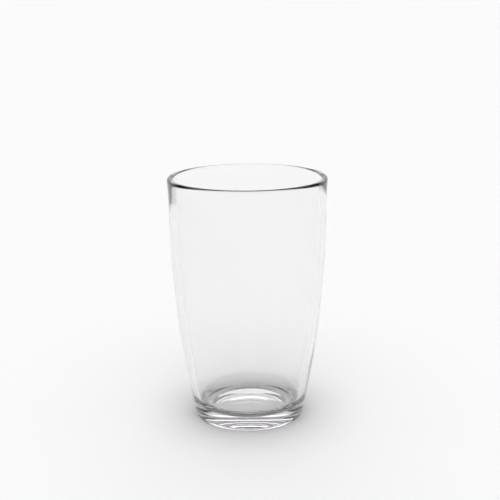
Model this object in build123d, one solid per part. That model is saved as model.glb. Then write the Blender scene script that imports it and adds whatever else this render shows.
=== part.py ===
"""Pint glass: one pressed piece of clear glass, a round cup that narrows to a thick foot.

The glass is a solid of revolution about +Z.  The origin is the middle of the face it stands
on, so the table is z = 0.  Sizes are millimetres.
"""

import math
import os

from build123d import *

# Overall sizes
HEIGHT = 133.0
LIP_DIAMETER = 85.5  # outside, across the widest part of the lip
FOOT_DIAMETER = 59.2  # outside, where the side would meet the table if the heel were sharp

# Side of the cup
NECK_DROP = 16.6  # from the lip down to the neck, where the side is upright
LIP_FLARE = 0.65  # how far the lip stands out past the neck, on the radius
KNEE_HEIGHT = 26.6  # below the knee the side turns in faster
KNEE_SPREAD = 5.1  # how far the knee stands out past the foot, on the radius
WALL_AT_NECK = 3.7
WALL_AT_KNEE = 3.9

# Lip
LIP_THICKNESS = 3.1  # the lip is a full round of this diameter

# Foot
FLOOR_THICKNESS = 5.9  # from the table to the middle of the inside floor
FLOOR_DISH = 1.6  # how far the inside floor rises from its middle to its edge
FLOOR_FILLET = 7.6  # rounding between the inside floor and the side
HEEL_RADIUS = 0.6  # rounding between the side and the face it stands on
REST_RING_WIDTH = 8.0  # flat ring that touches the table
HOLLOW_DEPTH = 2.9  # height of the domed hollow under the foot, at its middle
HOLLOW_EDGE_ROUND = 2.9  # rounding between the rest ring and the dome


def arc_radius_from_upright(rise, spread):
    """Radius of an arc that starts upright and moves sideways by spread over rise."""
    return (rise**2 + spread**2) / (2 * spread)


def side_stations():
    """Radii and heights of the places that fix the side of the cup."""
    lip_radius = LIP_DIAMETER / 2
    foot_radius = FOOT_DIAMETER / 2
    neck_radius = lip_radius - LIP_FLARE
    neck = (neck_radius, HEIGHT - NECK_DROP)
    knee = (foot_radius + KNEE_SPREAD, KNEE_HEIGHT)
    foot = (foot_radius, 0)
    return neck, knee, foot


def lip_round():
    """Centre and radius of the full round that makes the lip."""
    round_radius = LIP_THICKNESS / 2
    centre = (LIP_DIAMETER / 2 - round_radius, HEIGHT - round_radius)
    return centre, round_radius


def flare_end(neck, outside):
    """Point on the lip round where the flare that starts upright at the neck runs into it."""
    centre, round_radius = lip_round()
    touch = round_radius if outside else -round_radius
    across = neck[0] - centre[0]
    down = neck[1] - centre[1]
    flare_radius = (across**2 + down**2 - touch**2) / (2 * (touch - across))
    flare_centre = (neck[0] + flare_radius, neck[1])
    away = (flare_centre[0] - centre[0], flare_centre[1] - centre[1])
    scale = touch / math.hypot(*away)
    return (centre[0] + away[0] * scale, centre[1] + away[1] * scale)


def inside_wall():
    """Upper end of the inside wall, and the corner where it would meet the floor if sharp."""
    neck, knee, _ = side_stations()
    inner_neck = (neck[0] - WALL_AT_NECK, neck[1])
    inner_knee_radius = knee[0] - WALL_AT_KNEE
    radius = arc_radius_from_upright(neck[1] - knee[1], inner_neck[0] - inner_knee_radius)
    floor_edge = FLOOR_THICKNESS + FLOOR_DISH
    drop = neck[1] - floor_edge
    floor_radius = inner_neck[0] - radius + math.sqrt(radius**2 - drop**2)
    return inner_neck, (floor_radius, floor_edge)


def corner_nearest(face, place):
    """Corner of a flat face nearest a radius and height."""
    target = Vector(place[0], 0, place[1])
    return min(face.vertices(), key=lambda corner: (Vector(*corner) - target).length)


def at(point):
    """A radius and height as a point in the XZ plane."""
    return (point[0], 0, point[1])


def half_section():
    """Half of the cross-section, in the XZ plane."""
    neck, knee, foot = side_stations()
    inner_neck, floor_corner = inside_wall()
    lip_inner = flare_end(inner_neck, outside=False)
    lip_outer = flare_end(neck, outside=True)
    lip_top = (lip_round()[0][0], HEIGHT)
    floor_middle = (0, FLOOR_THICKNESS)
    ring_inner = (foot[0] - REST_RING_WIDTH, 0)
    hollow_middle = (0, HOLLOW_DEPTH)

    upright = (0, 0, 1)
    downward = (0, 0, -1)
    outward = (1, 0, 0)
    upper_side = TangentArc(at(neck), at(knee), tangent=downward)
    outline = [
        Line(at(hollow_middle), at(floor_middle)),
        TangentArc(at(floor_middle), at(floor_corner), tangent=outward),
        TangentArc(at(inner_neck), at(floor_corner), tangent=downward),
        TangentArc(at(inner_neck), at(lip_inner), tangent=upright),
        ThreePointArc(at(lip_inner), at(lip_top), at(lip_outer)),
        TangentArc(at(neck), at(lip_outer), tangent=upright),
        upper_side,
        TangentArc(at(knee), at(foot), tangent=upper_side % 1),
        Line(at(foot), at(ring_inner)),
        TangentArc(at(hollow_middle), at(ring_inner), tangent=outward),
    ]
    section = make_face(outline)
    section = fillet(corner_nearest(section, floor_corner), FLOOR_FILLET)
    section = fillet(corner_nearest(section, foot), HEEL_RADIUS)
    return fillet(corner_nearest(section, ring_inner), HOLLOW_EDGE_ROUND)


def glass_tumbler():
    """The whole glass."""
    return revolve(half_section(), axis=Axis.Z)


os.makedirs("parts", exist_ok=True)
tumbler = glass_tumbler()
tumbler.label = "glass_tumbler"
export_step(tumbler, "parts/glass_tumbler.step")
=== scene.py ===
import math

import bpy
from mathutils import Matrix, Vector


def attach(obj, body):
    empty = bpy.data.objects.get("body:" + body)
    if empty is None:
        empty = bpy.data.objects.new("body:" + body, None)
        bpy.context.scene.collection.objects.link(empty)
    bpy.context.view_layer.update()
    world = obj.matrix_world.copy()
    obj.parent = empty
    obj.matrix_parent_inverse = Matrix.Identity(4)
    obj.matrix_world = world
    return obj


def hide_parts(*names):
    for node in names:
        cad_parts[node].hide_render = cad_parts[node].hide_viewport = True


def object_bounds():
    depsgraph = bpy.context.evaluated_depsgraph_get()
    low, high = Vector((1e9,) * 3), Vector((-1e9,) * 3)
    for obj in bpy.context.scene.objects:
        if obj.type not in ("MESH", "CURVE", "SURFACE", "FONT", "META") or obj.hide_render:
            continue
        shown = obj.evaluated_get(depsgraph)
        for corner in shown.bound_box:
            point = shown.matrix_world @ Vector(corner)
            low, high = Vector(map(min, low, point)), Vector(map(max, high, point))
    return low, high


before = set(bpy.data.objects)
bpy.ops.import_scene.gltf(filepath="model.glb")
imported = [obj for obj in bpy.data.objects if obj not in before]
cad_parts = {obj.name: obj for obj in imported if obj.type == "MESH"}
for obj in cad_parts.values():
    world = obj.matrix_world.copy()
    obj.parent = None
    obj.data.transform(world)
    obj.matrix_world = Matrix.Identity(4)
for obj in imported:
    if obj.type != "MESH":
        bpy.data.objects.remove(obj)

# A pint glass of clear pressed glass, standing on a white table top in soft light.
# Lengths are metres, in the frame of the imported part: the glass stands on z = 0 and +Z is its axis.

cad_low, cad_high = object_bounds()
MM = 0.001

# ---------------------------------------------------------------- sizes of the glass
HEIGHT = cad_high.z
LIP_RADIUS = cad_high.x
FOOT_RADIUS = 29.6 * MM
NECK_DROP = 16.6 * MM
LIP_FLARE = 0.65 * MM
KNEE_HEIGHT = 26.6 * MM
KNEE_SPREAD = 5.1 * MM
WALL_AT_NECK = 3.7 * MM
WALL_AT_KNEE = 3.9 * MM
LIP_ROUND = 1.55 * MM
FLOOR_THICKNESS = 5.9 * MM
FLOOR_DISH = 1.6 * MM
FLOOR_FILLET = 7.6 * MM
HEEL_RADIUS = 0.6 * MM
REST_RING_WIDTH = 8.0 * MM
HOLLOW_DEPTH = 2.9 * MM
HOLLOW_EDGE_ROUND = 2.9 * MM

# ---------------------------------------------------------------- how the glass is meshed
TURN_STEPS = 288
FLOOR_STEPS = 26
FILLET_STEPS = 22
WALL_STEPS = 70
FLARE_STEPS = 12
LIP_STEPS = 26
SIDE_STEPS = 60
SKIRT_STEPS = 20
HEEL_STEPS = 10
EDGE_STEPS = 6
DOME_STEPS = 22

# The press leaves the inside a little off centre and faintly rippled, but not at its floor or lip.
BORE_SHIFT = 0.30 * MM
RIPPLE = 0.012 * MM
UNEVEN_FROM = (10 * MM, 40 * MM)  # heights over which the unevenness sets in
UNEVEN_TO = (HEIGHT - 4 * MM, HEIGHT - 20 * MM)  # and heights over which it dies out
SAME_POINT = 0.001 * MM
ON_AXIS = 0.01 * MM


# ---------------------------------------------------------------- outline of the glass
def circle_from_tangent(start, heading, end):
    """Centre and signed radius of the arc that leaves start along heading and reaches end."""
    across = (-heading[1], heading[0])
    chord = (end[0] - start[0], end[1] - start[1])
    reach = chord[0] ** 2 + chord[1] ** 2
    radius = reach / (2 * (chord[0] * across[0] + chord[1] * across[1]))
    centre = (start[0] + across[0] * radius, start[1] + across[1] * radius)
    return centre, radius


def arc_points(centre, start, end, steps):
    """Points on a circle from start to end, the short way, both ends kept."""
    radius = math.hypot(start[0] - centre[0], start[1] - centre[1])
    first = math.atan2(start[1] - centre[1], start[0] - centre[0])
    last = math.atan2(end[1] - centre[1], end[0] - centre[0])
    sweep = (last - first + math.pi) % (2 * math.pi) - math.pi
    angles = [first + sweep * i / steps for i in range(steps + 1)]
    return [(centre[0] + radius * math.cos(a), centre[1] + radius * math.sin(a)) for a in angles]


def toward(start, goal, distance):
    """The point at a distance from start on the line to goal."""
    share = distance / math.hypot(goal[0] - start[0], goal[1] - start[1])
    return (start[0] + (goal[0] - start[0]) * share, start[1] + (goal[1] - start[1]) * share)


def flare_end(neck, outside):
    """Where the flare that starts upright at the neck runs into the lip round, and its centre."""
    lip_centre = (LIP_RADIUS - LIP_ROUND, HEIGHT - LIP_ROUND)
    touch = LIP_ROUND if outside else -LIP_ROUND
    across = neck[0] - lip_centre[0]
    down = neck[1] - lip_centre[1]
    radius = (across**2 + down**2 - touch**2) / (2 * (touch - across))
    centre = (neck[0] + radius, neck[1])
    return toward(lip_centre, centre, touch), centre


def meeting(first_centre, first_reach, second_centre, second_reach):
    """The outer, lower crossing of two circles."""
    dx = second_centre[0] - first_centre[0]
    dz = second_centre[1] - first_centre[1]
    gap = math.hypot(dx, dz)
    along = (first_reach**2 - second_reach**2 + gap**2) / (2 * gap)
    off = math.sqrt(first_reach**2 - along**2)
    foot = (first_centre[0] + dx * along / gap, first_centre[1] + dz * along / gap)
    options = [(foot[0] - dz * off * s / gap, foot[1] + dx * off * s / gap) for s in (1, -1)]
    return max(options, key=lambda p: p[0] - p[1])


def inside_outline():
    """From the middle of the floor up the inside to the lip."""
    inner_neck = (LIP_RADIUS - LIP_FLARE - WALL_AT_NECK, HEIGHT - NECK_DROP)
    inner_knee = (FOOT_RADIUS + KNEE_SPREAD - WALL_AT_KNEE, KNEE_HEIGHT)
    wall_centre, wall_signed = circle_from_tangent(inner_neck, (0, -1), inner_knee)
    wall_reach = abs(wall_signed)
    edge_height = FLOOR_THICKNESS + FLOOR_DISH
    edge_radius = wall_centre[0] + math.sqrt(wall_reach**2 - (edge_height - wall_centre[1]) ** 2)
    middle = (0.0, FLOOR_THICKNESS)
    dish_centre, dish_reach = circle_from_tangent(middle, (1, 0), (edge_radius, edge_height))
    corner = meeting(wall_centre, wall_reach - FLOOR_FILLET, dish_centre, dish_reach - FLOOR_FILLET)
    on_dish = toward(dish_centre, corner, dish_reach)
    on_wall = toward(wall_centre, corner, wall_reach)
    lip_inner, flare_centre = flare_end(inner_neck, outside=False)
    return [
        arc_points(dish_centre, middle, on_dish, FLOOR_STEPS),
        arc_points(corner, on_dish, on_wall, FILLET_STEPS),
        arc_points(wall_centre, on_wall, inner_neck, WALL_STEPS),
        arc_points(flare_centre, inner_neck, lip_inner, FLARE_STEPS),
    ]


def lip_outline():
    """Over the full round of the lip, from inside to outside."""
    inner_neck = (LIP_RADIUS - LIP_FLARE - WALL_AT_NECK, HEIGHT - NECK_DROP)
    outer_neck = (LIP_RADIUS - LIP_FLARE, HEIGHT - NECK_DROP)
    centre = (LIP_RADIUS - LIP_ROUND, HEIGHT - LIP_ROUND)
    top = (centre[0], HEIGHT)
    start = flare_end(inner_neck, outside=False)[0]
    end = flare_end(outer_neck, outside=True)[0]
    return [arc_points(centre, start, top, LIP_STEPS // 2), arc_points(centre, top, end, LIP_STEPS // 2)]


def outside_outline():
    """From the lip down the side, round the heel and under the foot to its middle."""
    neck = (LIP_RADIUS - LIP_FLARE, HEIGHT - NECK_DROP)
    knee = (FOOT_RADIUS + KNEE_SPREAD, KNEE_HEIGHT)
    foot = (FOOT_RADIUS, 0.0)
    lip_outer, flare_centre = flare_end(neck, outside=True)
    side_centre, side_signed = circle_from_tangent(neck, (0, -1), knee)
    spoke = ((knee[0] - side_centre[0]) / abs(side_signed), (knee[1] - side_centre[1]) / abs(side_signed))
    skirt_centre, skirt_signed = circle_from_tangent(knee, (spoke[1], -spoke[0]), foot)
    skirt_reach = abs(skirt_signed)
    heel_run = math.sqrt((skirt_reach - HEEL_RADIUS) ** 2 - (HEEL_RADIUS - skirt_centre[1]) ** 2)
    heel = (skirt_centre[0] + heel_run, HEEL_RADIUS)
    on_skirt = toward(skirt_centre, heel, skirt_reach)
    hollow_radius = FOOT_RADIUS - REST_RING_WIDTH
    dome_reach = (hollow_radius**2 + HOLLOW_DEPTH**2) / (2 * HOLLOW_DEPTH)
    dome_centre = (0.0, HOLLOW_DEPTH - dome_reach)
    edge_run = math.sqrt((dome_reach + HOLLOW_EDGE_ROUND) ** 2 - (HOLLOW_EDGE_ROUND - dome_centre[1]) ** 2)
    edge = (edge_run, HOLLOW_EDGE_ROUND)
    on_dome = toward(dome_centre, edge, dome_reach)
    return [
        arc_points(flare_centre, lip_outer, neck, FLARE_STEPS),
        arc_points(side_centre, neck, knee, SIDE_STEPS),
        arc_points(skirt_centre, knee, on_skirt, SKIRT_STEPS),
        arc_points(heel, on_skirt, (heel[0], 0.0), HEEL_STEPS),
        arc_points(edge, (edge[0], 0.0), on_dome, EDGE_STEPS),
        arc_points(dome_centre, on_dome, (0.0, HOLLOW_DEPTH), DOME_STEPS),
    ]


def joined(runs):
    """One line of points from several runs that share their ends."""
    line = [runs[0][0]]
    for run in runs:
        line += [p for p in run if math.dist(p, line[-1]) > SAME_POINT]
    return line


# ---------------------------------------------------------------- mesh
def ripple_at(angle, height):
    """Faint unevenness that the plunger leaves inside, from slow waves round and up the cup."""
    slow = math.sin(3 * angle + 40 * height) + 0.7 * math.sin(5 * angle - 95 * height + 1.1)
    quick = 0.45 * math.sin(9 * angle + 230 * height + 2.3) + 0.35 * math.sin(14 * angle - 170 * height)
    return (slow + quick) * RIPPLE


def share_at(height, low, high):
    """0 at low and 1 at high, easing at both ends."""
    t = min(1.0, max(0.0, (height - low) / (high - low)))
    return t * t * (3 - 2 * t)


def lathe(name, inside, outside):
    """A closed surface turned from two lines: inside from the floor up, and outside back down."""
    points = [(p, True) for p in inside] + [(p, False) for p in outside]
    vertices = []
    rings = []
    for (radius, height), is_inside in points:
        if radius < ON_AXIS:
            rings.append([len(vertices)])
            vertices.append((0.0, 0.0, height))
            continue
        uneven = share_at(height, *UNEVEN_FROM) * share_at(height, *UNEVEN_TO)
        ring = []
        for i in range(TURN_STEPS):
            angle = 2 * math.pi * i / TURN_STEPS
            reach = radius + (ripple_at(angle, height) * uneven if is_inside else 0.0)
            shift = BORE_SHIFT * uneven if is_inside else 0.0
            ring.append(len(vertices))
            vertices.append((reach * math.cos(angle) + shift, reach * math.sin(angle), height))
        rings.append(ring)
    faces = []
    for lower, upper in zip(rings[:-1], rings[1:]):
        for i in range(TURN_STEPS):
            j = (i + 1) % TURN_STEPS
            if len(lower) == 1:
                faces.append((lower[0], upper[i], upper[j]))
            elif len(upper) == 1:
                faces.append((lower[j], lower[i], upper[0]))
            else:
                faces.append((lower[j], lower[i], upper[i], upper[j]))
    mesh = bpy.data.meshes.new(name)
    mesh.from_pydata(vertices, [], faces)
    mesh.update()
    mesh.shade_smooth()
    return mesh


# ---------------------------------------------------------------- node helpers
def new_nodes(owner):
    """An empty node tree on a material or world."""
    owner.use_nodes = True
    owner.node_tree.nodes.clear()
    return owner.node_tree


def add_node(tree, kind, **settings):
    node = tree.nodes.new(kind)
    for key, value in settings.items():
        setattr(node, key, value)
    return node


def feed(tree, socket, value):
    """Set a socket to a number or colour, or link another socket to it."""
    if isinstance(value, bpy.types.NodeSocket):
        tree.links.new(value, socket)
    else:
        socket.default_value = value


def maths(tree, operation, *values):
    node = add_node(tree, "ShaderNodeMath", operation=operation)
    for socket, value in zip(node.inputs, values):
        feed(tree, socket, value)
    return node.outputs[0]


def eased(tree, value, low, high, at_low, at_high):
    """Goes smoothly from at_low to at_high as value goes from low to high."""
    node = add_node(tree, "ShaderNodeMapRange", interpolation_type="SMOOTHSTEP")
    for name, setting in (
        ("Value", value),
        ("From Min", low),
        ("From Max", high),
        ("To Min", at_low),
        ("To Max", at_high),
    ):
        feed(tree, node.inputs[name], setting)
    return node.outputs[0]


# ---------------------------------------------------------------- materials
GLASS_IOR = 1.52
ABSORPTION_COLOUR = (0.20, 0.17, 0.22, 1.0)
ABSORPTION_DENSITY = 12.0
HAZE_SCALE = 38.0
HAZE_ROUGHNESS = 0.012  # where the haze is strongest
WAVE_SCALE = 60.0
WAVE_STRENGTH = 0.10
WAVE_HEIGHT = 0.05 * MM


def clear_glass():
    """Fire-polished soda-lime glass: faint surface waviness and a trace of haze that varies."""
    material = bpy.data.materials.new("clear_glass")
    tree = new_nodes(material)
    place = add_node(tree, "ShaderNodeTexCoord").outputs["Object"]
    shader = add_node(tree, "ShaderNodeBsdfPrincipled")
    shader.inputs["Base Color"].default_value = (1.0, 1.0, 1.0, 1.0)
    shader.inputs["Transmission Weight"].default_value = 1.0
    shader.inputs["IOR"].default_value = GLASS_IOR
    haze = add_node(tree, "ShaderNodeTexNoise")
    feed(tree, haze.inputs["Vector"], place)
    haze.inputs["Scale"].default_value = HAZE_SCALE
    haze.inputs["Detail"].default_value = 3.0
    roughness = eased(tree, haze.outputs[0], 0.45, 0.75, 0.0, HAZE_ROUGHNESS)
    feed(tree, shader.inputs["Roughness"], roughness)
    wave = add_node(tree, "ShaderNodeTexNoise")
    feed(tree, wave.inputs["Vector"], place)
    wave.inputs["Scale"].default_value = WAVE_SCALE
    wave.inputs["Detail"].default_value = 1.0
    bump = add_node(tree, "ShaderNodeBump")
    bump.inputs["Strength"].default_value = WAVE_STRENGTH
    bump.inputs["Distance"].default_value = WAVE_HEIGHT
    feed(tree, bump.inputs["Height"], wave.outputs[0])
    feed(tree, shader.inputs["Normal"], bump.outputs[0])
    tint = add_node(tree, "ShaderNodeVolumeAbsorption")
    tint.inputs["Color"].default_value = ABSORPTION_COLOUR
    tint.inputs["Density"].default_value = ABSORPTION_DENSITY
    output = add_node(tree, "ShaderNodeOutputMaterial")
    feed(tree, output.inputs["Surface"], shader.outputs[0])
    feed(tree, output.inputs["Volume"], tint.outputs[0])
    return material


TABLE_WHITE = 0.90
GRAIN_SCALE = 900.0
GRAIN_DEPTH = 0.005  # how far the grain goes either side of the white


def table_top():
    """Plain white matt table top with a faint grain."""
    material = bpy.data.materials.new("table_top")
    tree = new_nodes(material)
    place = add_node(tree, "ShaderNodeTexCoord").outputs["Object"]
    grain = add_node(tree, "ShaderNodeTexNoise")
    feed(tree, grain.inputs["Vector"], place)
    grain.inputs["Scale"].default_value = GRAIN_SCALE
    change = eased(tree, grain.outputs[0], 0.0, 1.0, 1.0 - GRAIN_DEPTH, 1.0 + GRAIN_DEPTH)
    tone = maths(tree, "MULTIPLY", TABLE_WHITE, change)
    colour = add_node(tree, "ShaderNodeCombineColor")
    for socket in colour.inputs:
        feed(tree, socket, tone)
    shader = add_node(tree, "ShaderNodeBsdfDiffuse")
    feed(tree, shader.inputs["Color"], colour.outputs[0])
    output = add_node(tree, "ShaderNodeOutputMaterial")
    feed(tree, output.inputs["Surface"], shader.outputs[0])
    return material


# ---------------------------------------------------------------- studio
TABLE_GAP = 0.05 * MM  # keeps the table clear of the face that the glass stands on
TABLE_REACH = 40.0  # far enough to fill the picture to its top edge
SKY_BEHIND = 2.55  # bright panel behind the glass, above the level that it is seen against
SKY_RING = 0.89  # soft light half way up, all round
SKY_TOP = 0.87  # overhead
SKY_LOW = 0.97  # pale room low down, all round
SKY_FRONT = 0.36  # half way up, on the camera's side
WARM_SKY = (1.0, 0.995, 0.985, 1.0)
COOL_SKY = (0.90, 0.93, 1.0, 1.0)
SUN_COLOUR = (1.0, 0.99, 0.965)


def bump_between(tree, value, middle, reach):
    """1 around middle, easing to 0 at reach to either side."""
    rise = eased(tree, value, middle - reach, middle - 0.3 * reach, 0.0, 1.0)
    fall = eased(tree, value, middle + 0.3 * reach, middle + reach, 1.0, 0.0)
    return maths(tree, "MULTIPLY", rise, fall)


def soft_sky():
    """Soft light all round, brightest behind the glass, and a little cooler overhead and in front."""
    world = bpy.data.worlds.new("soft_sky")
    bpy.context.scene.world = world
    tree = new_nodes(world)
    split = add_node(tree, "ShaderNodeSeparateXYZ")
    feed(tree, split.inputs[0], add_node(tree, "ShaderNodeTexCoord").outputs["Generated"])
    back, up = split.outputs["Y"], split.outputs["Z"]
    behind = maths(tree, "MULTIPLY", eased(tree, back, 0.60, 0.90, 0.0, 1.0), SKY_BEHIND)
    behind = maths(tree, "MULTIPLY", behind, bump_between(tree, up, 0.38, 0.20))
    ring = maths(tree, "MULTIPLY", bump_between(tree, up, 0.77, 0.25), SKY_RING)
    top = maths(tree, "MULTIPLY", eased(tree, up, 0.86, 0.97, 0.0, 1.0), SKY_TOP)
    facing = eased(tree, back, -0.8, -0.2, SKY_FRONT, 0.0)
    front = maths(tree, "MULTIPLY", bump_between(tree, up, 0.55, 0.40), facing)
    low = eased(tree, up, 0.16, 0.40, SKY_LOW, 0.0)
    warm = add_node(tree, "ShaderNodeBackground")
    warm.inputs["Color"].default_value = WARM_SKY
    feed(tree, warm.inputs["Strength"], maths(tree, "ADD", maths(tree, "MAXIMUM", behind, low), ring))
    cool = add_node(tree, "ShaderNodeBackground")
    cool.inputs["Color"].default_value = COOL_SKY
    feed(tree, cool.inputs["Strength"], maths(tree, "ADD", top, front))
    both = add_node(tree, "ShaderNodeAddShader")
    feed(tree, both.inputs[0], warm.outputs[0])
    feed(tree, both.inputs[1], cool.outputs[0])
    output = add_node(tree, "ShaderNodeOutputWorld")
    feed(tree, output.inputs["Surface"], both.outputs[0])


def soft_sun(name, direction, spread, strength):
    """Even light from far off that throws a soft shadow, and doesn't show in or through the glass."""
    lamp = bpy.data.lights.new(name, "SUN")
    lamp.energy = strength
    lamp.angle = math.radians(spread)
    lamp.color = SUN_COLOUR
    piece = bpy.data.objects.new(name, lamp)
    bpy.context.scene.collection.objects.link(piece)
    piece.rotation_euler = (-Vector(direction)).to_track_quat("-Z", "Y").to_euler()
    piece.visible_glossy = False
    piece.visible_transmission = False


def flat_table():
    """A wide plain table top under the glass."""
    mesh = bpy.data.meshes.new("table")
    sides = ((-1, -1), (1, -1), (1, 1), (-1, 1))
    corners = [(x * TABLE_REACH, y * TABLE_REACH, -TABLE_GAP) for x, y in sides]
    mesh.from_pydata(corners, [], [(0, 1, 2, 3)])
    mesh.materials.append(table_top())
    table = bpy.data.objects.new("table", mesh)
    bpy.context.scene.collection.objects.link(table)


# ---------------------------------------------------------------- camera
CAMERA_BACK = 3.9445  # as a share of the height of the glass, as the next is
CAMERA_UP = 1.69184
CAMERA_LENS = 72.0  # millimetres, as the next is
CAMERA_SENSOR = 36.0
CAMERA_FAR = 200.0
CAMERA_PITCH = 0.247442  # radians, as the next two are
CAMERA_YAW = 0.00213954
CAMERA_ROLL = -0.0088768


def camera():
    """The camera at the photograph's viewing angle."""
    lens = bpy.data.cameras.new("camera")
    lens.lens = CAMERA_LENS
    lens.sensor_width = CAMERA_SENSOR
    lens.clip_end = CAMERA_FAR
    piece = bpy.data.objects.new("camera", lens)
    bpy.context.scene.collection.objects.link(piece)
    level = math.cos(CAMERA_PITCH)
    gaze = Vector((math.sin(CAMERA_YAW) * level, math.cos(CAMERA_YAW) * level, -math.sin(CAMERA_PITCH)))
    turn = gaze.to_track_quat("-Z", "Y").to_matrix() @ Matrix.Rotation(CAMERA_ROLL, 3, "Z")
    place = Matrix.Translation((0.0, -CAMERA_BACK * HEIGHT, CAMERA_UP * HEIGHT))
    piece.matrix_world = place @ turn.to_4x4()
    bpy.context.scene.camera = piece


# ---------------------------------------------------------------- the scene
tumbler_mesh = lathe("glass_tumbler_clear", joined(inside_outline() + lip_outline()[:1]),
                     joined(lip_outline()[1:] + outside_outline())[1:])
tumbler_mesh.materials.append(clear_glass())
tumbler = bpy.data.objects.new("glass_tumbler_clear", tumbler_mesh)
bpy.context.scene.collection.objects.link(tumbler)
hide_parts("glass_tumbler")
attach(tumbler, "root")

flat_table()
soft_sky()
soft_sun("overhead", (0.0, 0.0, 1.0), spread=20.0, strength=0.65)
soft_sun("from_front", (0.0, -0.5, 0.87), spread=40.0, strength=0.29)
camera()

scene = bpy.context.scene
scene.view_settings.view_transform = "Standard"
scene.cycles.use_denoising = True
scene.cycles.max_bounces = 24
scene.cycles.transmission_bounces = 24
scene.cycles.glossy_bounces = 16
scene.cycles.diffuse_bounces = 4
scene.cycles.caustics_reflective = True
scene.cycles.caustics_refractive = True
